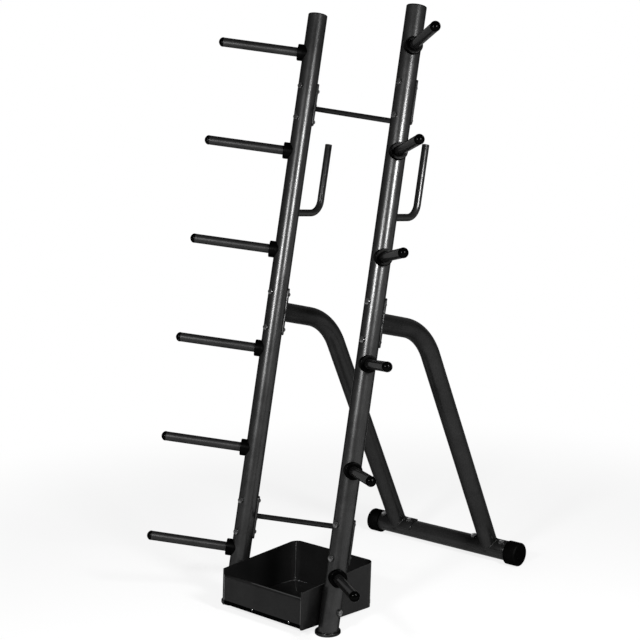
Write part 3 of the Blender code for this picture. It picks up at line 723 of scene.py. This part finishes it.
for label, side in sides.items():
    for index in range(upright["pegCount"]):
        place = leanFrame(side) @ pegFrame(side, index)
        tag = label + "_" + str(index + 1)
        collar, cap = moved(collarShape(), place), moved(capShape(), place)
        finishPiece("bumper_" + tag, collar, "mouldedRubber", ["collar_" + tag])
        finishPiece("end_cap_" + tag, cap, "mouldedPlastic", ["peg_cap_" + tag])
    plug = moved(plugShape(), leanFrame(side))
    finishPiece("tube_plug_" + label, plug, "mouldedPlastic", ["top_plug_" + label])
    # the foot's lighter rubber is painted sheen
    finishPiece("rubber_foot_" + label, footShape(side), "footRubber", ["foot_" + label])
    # a lighter ring above the foot: painted reflection
    finishPiece("tube_rim_painted_reflection_" + label, paintedReflectionRim(side), "weldCoatAndPaintedGlint")
print("collars, caps, plugs and feet made")


saddle = {
    "thick": 0.005,
    "halfAngle": 66,
    "footHalfAngle": 57,
    "crossLength": 0.131,
    "legLength": 0.146,
    "corner": 0.009,
    "edge": 0.0024,
    "gap": 0.0001,
    "roomReach": 0.2,
}
rods = {
    "radius": 0.008,
    "offset": 0.022,
    "bead": 0.0021,
    "ripples": 18,
    "sides": 36,
    "endInset": 0.015,
    "upper": {"left": -0.009, "right": -0.061},
    "lower": {"left": 0.003, "right": 0.038},
}


def saddlePlate(place, length, halfAngle):
    # it starts a little inside the tube, which is cut out of it later
    inner = tree["tubeRadius"] - tree["wall"]
    thick = saddle["thick"] + tree["wall"] + tree["gap"]
    plate = bendPlate(length, thick, inner, halfAngle, saddle["corner"], saddle["edge"])
    return moved(plate, place)


def makeCrossRod(name):
    # in the left upright's frame; left and right are its ends' heights over the plates' middles
    rod, height = rods[name], bolt[name + "Cross"]
    spacing, tube, gap = tree["spacing"], tree["tubeRadius"], tree["gap"]
    start = Vector((0, rods["offset"], height + rod["left"]))
    end = Vector((spacing, rods["offset"], height + rod["right"]))
    along = (end - start).normalized()
    inset = along * rods["endInset"]
    body = bar(rods["radius"], start + inset, end - inset, rods["sides"])
    plates, holes, rooms, beads = [], bmesh.new(), bmesh.new(), []
    for x, towards in ((0, 1), (spacing, -1)):
        # plate's own Y runs up the tube and its crown points back
        place = frameAt((x, 0, height), -math.pi / 2, "X")
        plates.append(saddlePlate(place, saddle["crossLength"], saddle["halfAngle"]))
        for sign in (-1, 1):
            z = height + sign * bolt["crossSpacing"] / 2
            boltHole(holes, (x, 0, z), (x, bolt["holeReach"], z))
        middle, past = Vector((x, 0, height)), Vector((0, 0, saddle["roomReach"]))
        addBar(rooms, tube + saddle["gap"], middle - past, middle + past, tree["roundSides"])
        # bead where the rod meets the flank of its plate
        host = tube + gap + saddle["thick"]
        bead = weldBead(rods["radius"], host, rods["bead"], rods["ripples"], rods["offset"])
        flip = Matrix(((0, 0, towards, 0), (1, 0, 0, 0), (0, 1, 0, 0), (0, 0, 0, 1)))
        z = height + (rod["left"] if x == 0 else rod["right"])
        beads.append(moved(bead, Matrix.Translation((x, 0, z)) @ flip))
    steps = [("UNION", plate) for plate in plates]
    steps += [("DIFFERENCE", rooms), ("DIFFERENCE", holes)]
    place = leanFrame(-1)
    made = moved(carve(body, steps), place)
    # the cross bars take the darker copy of the coat: painted shade
    finishPiece("cross_bar_" + name, made, "pegCoatPaintedShade", ["cross_rod_" + name])
    # the welds' lighter finish is a painted glint
    finishPiece("cross_bar_welds_" + name, moved(joined(*beads), place), "weldCoatAndPaintedGlint")


for name in ("upper", "lower"):
    makeCrossRod(name)
print("cross rods made")


leg = {
    "corner": 0.2507,
    "slope": 25.3,
    "bend": 0.190,
    "bendSteps": 28,
    "sides": 72,
    "boreSides": 56,
    "bead": 0.0027,
    "ripples": 60,
    "squash": 0.9,
}
base = {
    "length": 0.612,
    "capRadius": 0.039,
    "capLength": 0.045,
    "capEnd": 0.005,
    "capRound": 0.006,
    "capSides": 112,
}
lean, slope = math.radians(tree["lean"]), math.radians(leg["slope"])
up = Vector((0, math.sin(lean), math.cos(lean)))
back = Vector((0, math.cos(lean), -math.sin(lean)))
down = Vector((0, math.sin(slope), -math.cos(slope)))
legTop = up * bolt["leg"]
legKnee = legTop + back * leg["corner"]
legFoot = Vector((0, baseY - feetY, baseZ))


def makeLeg(label, side):
    tube, wall, gap = tree["tubeRadius"], tree["wall"], tree["gap"]
    turn = math.pi / 2 - slope - lean
    tangent = leg["bend"] * math.tan(turn / 2)
    upperRun = leg["corner"] - tangent
    lowerRun = (legFoot - legKnee).length - tangent
    bend = ("bend", leg["bend"], -turn, leg["bendSteps"])
    path = [("straight", upperRun), bend, ("straight", lowerRun)]
    body, _ = bentBar(tube, leg["sides"], legTop, back, path)
    # the bore ends short of the base tube
    path[2] = ("straight", lowerRun - tube - 2 * saddle["thick"])
    bore, _ = bentBar(tube - wall, leg["boreSides"], legTop, back, path)
    upPlate = frameAt(legTop, -lean, "X") @ Matrix.Rotation(-math.pi / 2, 4, "X")
    # the lower plate lies along the base tube, its crown facing up the leg
    lowPlate = frameAt(legFoot, slope, "X") @ Matrix.Rotation(math.pi / 2, 4, "Z")
    room, reach = tube + saddle["gap"], saddle["roomReach"]
    along, across = up * reach, Vector((reach, 0, 0))
    rooms = joined(
        bar(room, legTop - along, legTop + along, tree["roundSides"]),
        bar(room, legFoot - across, legFoot + across, tree["roundSides"]),
    )
    holes = bmesh.new()
    for end in (-1, 1):
        high = legTop + up * end * bolt["legSpacing"] / 2
        low = legFoot + Vector((end * bolt["legSpacing"] / 2, 0, 0))
        boltHole(holes, high, high + back * bolt["holeReach"])
        boltHole(holes, low, low - down * bolt["holeReach"])
    steps = [
        ("UNION", saddlePlate(upPlate, saddle["legLength"], saddle["halfAngle"])),
        ("UNION", saddlePlate(lowPlate, saddle["legLength"], saddle["footHalfAngle"])),
        ("DIFFERENCE", rooms),
        ("DIFFERENCE", bore),
        ("DIFFERENCE", holes),
    ]
    made = carve(body, steps)
    place = standFrame(side)
    finishPiece("leg_tube_" + label, moved(made, place), "coatedLeg", ["leg_" + label])
    host = tube + gap + saddle["thick"]
    beads = []
    for plate in (upPlate, lowPlate):
        bead = weldBead(tube, host, leg["bead"], leg["ripples"], squash=leg["squash"])
        beads.append(moved(bead, plate))
    finishPiece("leg_welds_" + label, moved(joined(*beads), place), "coatedLeg")


for label, side in sides.items():
    makeLeg(label, side)


def baseTube():
    tube, half, past = tree["tubeRadius"], base["length"] / 2, tree["past"]
    out = Vector((0, -math.sin(slope), math.cos(slope))) * bolt["holeReach"]
    holes = bmesh.new()
    for side in sides.values():
        for end in (-1, 1):
            middle = Vector((side * tree["spacing"] / 2 + end * bolt["legSpacing"] / 2, 0, 0))
            boltHole(holes, middle, middle + out)
    bore = bar(tube - tree["wall"], (-half - past, 0, 0), (half + past, 0, 0), tree["boreSides"])
    body = bar(tube, (-half, 0, 0), (half, 0, 0), tree["roundSides"])
    return carve(body, [("DIFFERENCE", bore), ("DIFFERENCE", holes)])


def baseCap():
    # Z runs outward, with 0 at the closed end
    r, soft, deep = base["capRadius"] - 0.0001, base["capRound"], base["capLength"]
    bore = tree["tubeRadius"] + tree["gap"]
    profile = [(0.0, -0.0006), (r * 0.55, -0.0004)]
    profile += reversed(arc(r - soft, -soft, soft, 0, 90, 8))
    profile += [(r, 0.0015 - deep), (r - 0.0005, 0.0005 - deep), (r - 0.0015, -deep)]
    profile += [(bore + 0.0008, -deep), (bore, 0.0008 - deep)]
    profile += [(bore, -base["capEnd"]), (0.0, -base["capEnd"])]
    return turned(profile, base["capSides"])


basePlace = Matrix.Translation((0, baseY, baseZ))
finishPiece("floor_tube", moved(baseTube(), basePlace), "coatedBase", ["base_tube"])
for label, side in sides.items():
    end = side * (base["length"] / 2 + tree["gap"] + base["capEnd"])
    place = basePlace @ frameAt((end, 0, 0), side * math.pi / 2, "Y")
    finishPiece("floor_cap_" + label, moved(baseCap(), place), "capRubber", ["base_cap_" + label])
print("legs and base made")


tray = {
    "sheet": 0.002,
    "softEdge": 0.0007,
    "depth": 0.323,
    "frontY": -0.0778,
    "frontZ": 0.0223,
    "rearZ": 0.0005,
    "frontWall": 0.110,
    "rearWall": 0.139,
    "corner": 0.026,
    "floor": 0.008,
    "flange": 0.007,
    "flangeBend": 0.0028,
    "panelTop": 0.090,
    "setback": 0.0015,
    "lip": 0.012,
    "lipBend": 0.0045,
    "skirt": 0.008,
    "panelFoot": 0.0145,
    "screwReach": (-0.0395, 0.1085),
    "screwHeight": 0.0112,
    "screwRadius": 0.0031,
    "screwHead": 0.0020,
    "screwRound": 0.0016,
    "screwSlit": (0.0040, 0.0008, 0.0020),
    "highlightLine": 0.0013,
    "highlightLineSides": 14,
    "highlightLineInset": 0.0073,
    "highlightLineRun": 0.080,
    "beadInset": 0.0075,
}
# weld runs at a rear corner: start and end from the corner (outward, back, up), drop size, drops
beadRuns = (
    ((-0.004, 0.003, 0), (-0.016, 0.0058, 0), 0.0026, 6),
    ((-0.018, 0.0061, 0), (-0.042, 0.0065, 0), 0.0021, 12),
    ((0.003, -0.004, 0), (0.0058, -0.016, 0), 0.0026, 6),
    ((0.0061, -0.018, 0), (0.0065, -0.056, 0), 0.0021, 18),
    ((0, 0, 0), (0, 0, 0.010), 0.0034, 5),
)
trayTilt = -math.asin((tray["frontZ"] - tray["rearZ"]) / tray["depth"])
trayPlace = frameAt((0, feetY + tray["frontY"], tray["frontZ"]), trayTilt, "X")
trayHalf = tree["spacing"] / 2 - tree["tubeRadius"] - tree["gap"]


def inFront(edge):
    return all(v.co.y < 0.001 for v in edge.verts)


def trayWalls():
    sheet, depth, high = tray["sheet"], tray["depth"], tray["rearWall"]
    bm = block((-trayHalf, 0.0, 0.0), (trayHalf, depth, high))
    bm.normal_update()
    gone = [f for f in bm.faces if f.normal.y < -0.9 or abs(f.normal.z) > 0.9]
    bmesh.ops.delete(bm, geom=gone, context="FACES_ONLY")
    loose = [e for e in bm.edges if not e.link_faces]
    bmesh.ops.delete(bm, geom=loose, context="EDGES")
    # the narrow return flanges at the front
    front = [e for e in bm.edges if inFront(e) and isUpright(e)]
    for edge in front:
        inward = -math.copysign(1, edge.verts[0].co.x)
        made = bmesh.ops.extrude_edge_only(bm, edges=[edge])["geom"]
        step = (inward * tray["flange"], 0, 0)
        bmesh.ops.translate(bm, vec=step, verts=only(made, bmesh.types.BMVert))
    corners = [e for e in bm.edges if len(e.link_faces) == 2 and e.verts[0].co.y > 0.1]
    roundEdges(bm, corners, tray["corner"], 12)
    bends = [e for e in bm.edges if len(e.link_faces) == 2 and inFront(e)]
    roundEdges(bm, bends, tray["flangeBend"], 4)
    slopeUp = Vector((0, tray["frontWall"] - tray["rearWall"], depth))
    lip = (0, 0, tray["frontWall"])
    bmesh.ops.bisect_plane(
        bm, geom=everything(bm), dist=1e-6, plane_co=lip, plane_no=slopeUp, clear_outer=True
    )
    bmesh.ops.recalc_face_normals(bm, faces=bm.faces)
    # the sheet grows inward only if its faces look away from the middle
    outward = 0.0
    for face in bm.faces:
        centre = face.calc_center_median()
        outward += face.normal.dot(centre - Vector((0, depth / 2, centre.z)))
    if outward < 0:
        bmesh.ops.reverse_faces(bm, faces=bm.faces)
    bmesh.ops.solidify(bm, geom=bm.faces[:], thickness=sheet)
    return bm


def trayFloor():
    sheet, inside = tray["sheet"], trayHalf - tray["sheet"] / 2
    front, rear = tray["skirt"] + sheet + 0.0004, tray["depth"] - sheet / 2
    bm = block((-inside, front, tray["floor"]), (inside, rear, tray["floor"] + sheet))
    corners = [e for e in bm.edges if isUpright(e) and e.verts[0].co.y > 0.1]
    roundEdges(bm, corners, tray["corner"] - sheet / 2, 12)
    return bm


def foldedStrip(points, half, bendSize):
    # a strip of sheet that runs along X: points are its middle line in Y and Z
    bm = bmesh.new()
    verts = [bm.verts.new((-half, y, z)) for y, z in points]
    wire = [bm.edges.new(pair) for pair in zip(verts, verts[1:])]
    made = bmesh.ops.extrude_edge_only(bm, edges=wire)["geom"]
    bmesh.ops.translate(bm, vec=(2 * half, 0, 0), verts=only(made, bmesh.types.BMVert))
    roundEdges(bm, [e for e in bm.edges if len(e.link_faces) == 2], bendSize, 6)
    bmesh.ops.recalc_face_normals(bm, faces=bm.faces)
    for v in bm.verts:
        v.normal_update()
    bmesh.ops.solidify(bm, geom=bm.faces[:], thickness=tray["sheet"])
    return bm


def centred(bm, wantedLow):
    # moves a strip so that its lowest Y and Z are where they should be
    low = Vector([min(v.co[i] for v in bm.verts) for i in range(3)])
    bmesh.ops.translate(bm, vec=(0, wantedLow[0] - low.y, wantedLow[1] - low.z), verts=bm.verts)
    return bm


def makeTray():
    sheet = tray["sheet"]
    weld = trayHalf - sheet / 2
    top = tray["panelTop"] - sheet / 2
    path = [(0.0, tray["panelFoot"]), (0.0, top), (tray["lip"] - sheet / 2, top)]
    panel = foldedStrip(path, weld, tray["lipBend"])
    panel = centred(panel, (tray["setback"], tray["panelFoot"]))
    # the strip runs down from behind the panel's foot; its rubber black is painted shade of the
    # recess under the panel
    behind = tray["skirt"] - tray["setback"] - sheet
    fold = tray["panelFoot"] + sheet / 2
    skirt = foldedStrip([(-behind, fold), (0.0, fold), (0.0, 0.0)], weld - sheet, 0.001)
    skirt = centred(skirt, (tray["setback"] + sheet, tree["gap"]))
    holes = bmesh.new()
    near, far, high = 0.12, tree["spacing"] / 2 + tree["tubeRadius"], bolt["tray"]
    boltHole(holes, (-far, 0, high), (-near, 0, high))
    boltHole(holes, (near, 0, high), (far, 0, high))
    # from the middle between the leaning tubes into the tray's own frame
    middle = trayPlace.inverted() @ frameAt((0, feetY, 0), -lean, "X")
    steps = [("UNION", trayFloor()), ("UNION", panel), ("DIFFERENCE", moved(holes, middle))]
    made = moved(carve(trayWalls(), steps), trayPlace)
    finishPiece("tray_sheet", made, "coatedSheet", ["tray"], tray["softEdge"], smoothAngle=35)
    # rubber black on the strip under the panel: painted shade of its recess
    finishPiece("tray_skirt_painted_shade", moved(skirt, trayPlace), "mouldedRubber")
    # the corner welds' lighter finish is a painted glint
    finishPiece("tray_welds", moved(trayBeads(), trayPlace), "weldCoatAndPaintedGlint")
    # the tray's thin pale bars are painted highlight lines
    finishPiece("tray_painted_highlights", moved(trayHighlightLines(), trayPlace), "paintedHighlight")


def trayBead(start, end, size, count):
    # a short run of overlapping weld drops
    drops = []
    for i in range(count):
        at = Vector(start).lerp(Vector(end), i / (count - 1))
        swell = size * (1 + 0.22 * math.sin(2.1 * i + 0.7))
        shape = Matrix.Translation(at) @ Matrix.Diagonal((swell, swell, swell * 0.75, 1))
        drop = bmesh.new()
        bmesh.ops.create_icosphere(drop, subdivisions=2, radius=1, matrix=shape)
        drops.append(drop)
    return carve(drops[0], [("UNION", drop) for drop in drops[1:]])


def trayCorner(x, inset):
    # on the tray's floor in its left (x = -1) or right (x = 1) rear corner
    side, rear = trayHalf - tray["sheet"] - inset, tray["depth"] - tray["sheet"] - inset
    return Vector((x * side, rear, tray["floor"] + tray["sheet"]))


def trayBeads():
    # runs in the rear corners between wall and floor
    runs = []
    for x in (-1, 1):
        corner, outward = trayCorner(x, tray["beadInset"]), Vector((x, 1, 1))
        for start, end, size, count in beadRuns:
            start, end = corner + Vector(start) * outward, corner + Vector(end) * outward
            runs.append(trayBead(start, end, size, count))
    return joined(*runs)


def trayHighlightLines():
    # thin pale bars that are painted highlight lines: up the rear corners, on along the floor's
    # diagonals, and down the flanges' inner edges
    size, sides = tray["highlightLine"], tray["highlightLineSides"]
    bars = []
    for x in (-1, 1):
        corner, outward = trayCorner(x, tray["highlightLineInset"]), Vector((x, 1, 1))
        low, high = Vector((0, 0, 0.001)), Vector((0, 0, tray["rearWall"] - corner.z - 0.004))
        bars.append(bar(size, corner + low, corner + high, sides))
        near, far = Vector((-0.002, -0.002, 0)), Vector((-tray["highlightLineRun"], -tray["highlightLineRun"], 0))
        bars.append(bar(size, corner + near * outward, corner + far * outward, sides))
        front = Vector((x * (trayHalf - tray["flange"] + 0.0002), tray["setback"] - 0.0006, 0))
        low, high = Vector((0, 0, tray["panelFoot"])), Vector((0, 0, tray["panelTop"] + 0.003))
        bars.append(bar(size * 0.8, front + low, front + high, sides))
    for shape in bars:
        rims = [e for e in shape.edges if any(len(f.verts) > 4 for f in e.link_faces)]
        roundEdges(shape, rims, size * 0.4, 2)
    return joined(*bars)


def screwHead():
    # a small pan head with a cross recess, pointing along -Y
    r, high, soft = tray["screwRadius"], tray["screwHead"], tray["screwRound"]
    profile = [(0.0, 0.0), (r, 0.0)] + arc(r - soft, high - soft, soft, 0, 90, 5) + [(0.0, high)]
    steps = []
    for turn in (0, math.pi / 2):
        slit = bmesh.new()
        shape = Matrix.Rotation(turn, 4, "Z") @ Matrix.Diagonal((*tray["screwSlit"], 1))
        bmesh.ops.create_cube(slit, size=1, matrix=Matrix.Translation((0, 0, high)) @ shape)
        steps.append(("DIFFERENCE", slit))
    return moved(carve(turned(profile, 32), steps), Matrix.Rotation(math.pi / 2, 4, "X"))


makeTray()
for tag, x in zip(("left", "right"), tray["screwReach"]):
    at = (x, tray["setback"] + tray["sheet"], tray["screwHeight"])
    made = moved(screwHead(), trayPlace @ Matrix.Translation(at))
    finishPiece("skirt_screw_" + tag, made, "darkZinc")
print("tray made")


def hexBlock(low, high, chamferHigh):
    # a hexagon with chamfered corners at its low end, and at the high one if wanted
    corner = bolt["flats"] / math.sqrt(3)
    bm = bmesh.new()
    bmesh.ops.create_cone(
        bm,
        cap_ends=True,
        segments=6,
        radius1=corner,
        radius2=corner,
        depth=high - low,
        matrix=frameAt((0, 0, (low + high) / 2), math.pi / 6, "Z"),
    )
    # the turned cone that takes the corners off
    flat, slant = bolt["flats"] / 2 * bolt["chamferFrom"], math.tan(math.radians(bolt["chamfer"]))
    over, past = corner - flat + 0.001, 0.002
    profile = [(0.0, low), (flat, low), (flat + over, low + over * slant)]
    if chamferHigh:
        profile += [(flat + over, high - over * slant), (flat, high), (0.0, high)]
    else:
        profile += [(flat + over, high + past), (0.0, high + past)]
    return carve(bm, [("INTERSECT", turned(profile, 72))])


def threadEnd(grip):
    # the shaft's end with a few turns of thread, as a list of (radius, height) points
    r, deep = bolt["radius"], bolt["threadDeep"]
    end = grip + bolt["nut"] + bolt["tip"]
    points = [(r, grip + bolt["nut"] / 2)]
    z = grip + bolt["nut"] - 0.0005
    while z < end - 0.0012:
        points += [(r, z), (r - deep, z + 0.0004)]
        z += bolt["pitch"]
    return points + [(r - deep, end - 0.0006), (r - 0.0013, end), (0.0, end)]


def domeEnd(grip):
    # the dome of a cap nut, which closes the thread's end
    dome, half = bolt["domeRadius"], grip + bolt["nut"] / 2
    rise = grip + bolt["nut"] + bolt["domeRise"]
    return [(bolt["radius"], half), (dome, half)] + arc(0.0, rise, dome, 0, 90, 12)


def makeBolt(name, place, grip, end, count, finish):
    # a hexagon head at Z = 0, a shaft with the given end, and a nut that starts at the grip
    middle = -bolt["head"] / 2
    shaft = turned([(0.0, middle), (bolt["radius"], middle)] + end(grip), count)
    head = hexBlock(-bolt["head"], 0.0, False)
    nut = hexBlock(grip, grip + bolt["nut"], True)
    made = carve(shaft, [("UNION", head), ("UNION", nut)])
    finishPiece("hex_bolt_" + name, moved(made, place), finish, ["bolt_" + name])


def makeBolts():
    seat = tree["tubeRadius"] + tree["gap"]
    behind = seat + saddle["thick"] + tree["gap"]
    backward = Matrix.Rotation(-math.pi / 2, 4, "X")
    for label, side in sides.items():
        for name, height in boltHeights.items():
            place = leanFrame(side) @ Matrix.Translation((0, -seat, height)) @ backward
            grip = seat + behind
            makeBolt(name + "_" + label, place, grip, domeEnd, bolt["domeSides"], "darkZinc")
        inward = frameAt((side * seat, 0, bolt["tray"]), -side * math.pi / 2, "Y")
        place = leanFrame(side) @ inward
        grip = 2 * seat + tray["sheet"] + tree["gap"]
        makeBolt("tray_" + label, place, grip, threadEnd, bolt["threadSides"], "darkZinc")
        # short bolts that screw into nuts inside the base tube
        corner = bolt["flats"] / math.sqrt(3)
        flat = (tree["tubeRadius"] - tree["wall"]) * math.cos(math.pi / bolt["packedBoreSides"])
        nutSeat = math.sqrt(flat**2 - corner**2) - tree["gap"]
        for name, end in (("outer", side), ("inner", -side)):
            x = side * tree["spacing"] / 2 + end * bolt["legSpacing"] / 2
            place = basePlace @ frameAt((x, 0, 0), math.pi + slope, "X")
            place = place @ Matrix.Translation((0, 0, -behind))
            name, grip = "foot_" + name + "_" + label, behind - nutSeat
            # the base tube's bolts take the lighter zinc: painted highlight
            makeBolt(name, place, grip, threadEnd, bolt["threadSides"], "brightZinc")


makeBolts()
print("bolts made")


studio = {
    "world": 0.20,
    "floorColour": 0.80,
    "floorRough": 0.9,
    "white": 0.82,
    "fadeFrom": 1.0,
    "fadeTo": 2.4,
    "floorHalf": 40,
    "wallHalf": 6,
    "wallAt": 6,
    "leftLamp": {"at": (0.50, -2.60, 1.74), "size": (0.46, 0.38), "power": 74.0},
    "rightLamp": {"at": (1.80, -0.57, 1.67), "size": (0.42, 0.70), "power": 62.0},
    "lampAim": (0.0, -0.15, 0.95),
}


def backdropMaterial(name, fades):
    made = bpy.data.materials.new(name)
    made.use_nodes = True
    nodes, links = made.node_tree.nodes, made.node_tree.links
    shader = nodes["Principled BSDF"]
    setInputs(shader, {"Base Color": grey(studio["floorColour"])})
    setInputs(shader, {"Roughness": studio["floorRough"], "Specular IOR Level": 0.0})
    white = nodes.new("ShaderNodeEmission")

    def combine(operation, first, second):
        node = nodes.new("ShaderNodeMath")
        node.operation = operation
        links.new(first, node.inputs[0])
        links.new(second, node.inputs[1])
        return node.outputs[0]

    # it glows where it is seen, and is a pale matt surface to all other light
    path = nodes.new("ShaderNodeLightPath").outputs
    amount = combine("MAXIMUM", path["Is Camera Ray"], path["Is Glossy Ray"])
    amount = combine("MAXIMUM", amount, path["Is Transmission Ray"])
    if fades:
        place = nodes.new("ShaderNodeTexCoord")
        reach = nodes.new("ShaderNodeVectorMath")
        reach.operation = "LENGTH"
        links.new(place.outputs["Object"], reach.inputs[0])
        fade = nodes.new("ShaderNodeMapRange")
        fade.interpolation_type = "SMOOTHSTEP"
        setInputs(fade, {"From Min": studio["fadeFrom"], "From Max": studio["fadeTo"]})
        setInputs(fade, {"To Min": studio["white"]})
        links.new(reach.outputs["Value"], fade.inputs["Value"])
        amount = combine("MULTIPLY", amount, fade.outputs["Result"])
    mix = nodes.new("ShaderNodeMixShader")
    links.new(amount, mix.inputs["Fac"])
    links.new(shader.outputs["BSDF"], mix.inputs[1])
    links.new(white.outputs["Emission"], mix.inputs[2])
    links.new(mix.outputs["Shader"], nodes["Material Output"].inputs["Surface"])
    return made


def stagePlane(name, size, matrix, material):
    bm = bmesh.new()
    bmesh.ops.create_grid(bm, x_segments=1, y_segments=1, size=size, matrix=matrix)
    obj = addObject(name, bm, [material])


def addLamp(name, lamp):
    light = bpy.data.lights.new(name, "AREA")
    light.shape = "ELLIPSE"
    light.size, light.size_y = lamp["size"]
    light.energy = lamp["power"]
    obj = bpy.data.objects.new(name, light)
    obj.location = lamp["at"]
    heading = Vector(studio["lampAim"]) - Vector(lamp["at"])
    obj.rotation_euler = heading.to_track_quat("-Z", "Y").to_euler()
    bpy.context.scene.collection.objects.link(obj)


# the camera as fitted to the photo: degrees, and a focal length in the photo's pixels
view = {
    "at": (2.536, feetY - 2.6433, 1.4491),
    "yaw": 41.718,
    "pitch": 8.675,
    "roll": -0.8,
    "focal": 1290.07,
    "photoWidth": 640,
    "sensor": 36,
}


def addCamera():
    yaw, pitch, roll = (math.radians(view[key]) for key in ("yaw", "pitch", "roll"))
    level = math.cos(pitch)
    ahead = Vector((-math.sin(yaw) * level, math.cos(yaw) * level, -math.sin(pitch)))
    right = Vector((math.cos(yaw), math.sin(yaw), 0))
    over = right.cross(ahead)
    across = right * math.cos(roll) + over * math.sin(roll)
    upward = over * math.cos(roll) - right * math.sin(roll)
    camera = bpy.data.objects.new("camera", bpy.data.cameras.new("camera"))
    camera.data.lens = view["focal"] / view["photoWidth"] * view["sensor"]
    camera.data.sensor_width = view["sensor"]
    turn = Matrix((across, upward, -ahead)).transposed().to_4x4()
    camera.matrix_world = Matrix.Translation(view["at"]) @ turn
    bpy.context.scene.collection.objects.link(camera)
    bpy.context.scene.camera = camera
    return ahead


ahead = addCamera()
stagePlane("floor", studio["floorHalf"], Matrix.Identity(4), backdropMaterial("pale_floor", True))
flat = Vector((ahead.x, ahead.y, 0)).normalized()
wall = aim(flat * studio["wallAt"], flat)
stagePlane("backdrop", studio["wallHalf"], wall, backdropMaterial("pale_backdrop", False))
addLamp("left softbox", studio["leftLamp"])
addLamp("right softbox", studio["rightLamp"])
world = bpy.data.worlds.new("studio")
bpy.context.scene.world = world
world.use_nodes = True
background = world.node_tree.nodes["Background"]
setInputs(background, {"Color": grey(1), "Strength": studio["world"]})
bpy.context.scene.view_settings.view_transform = "Standard"
print("studio set")
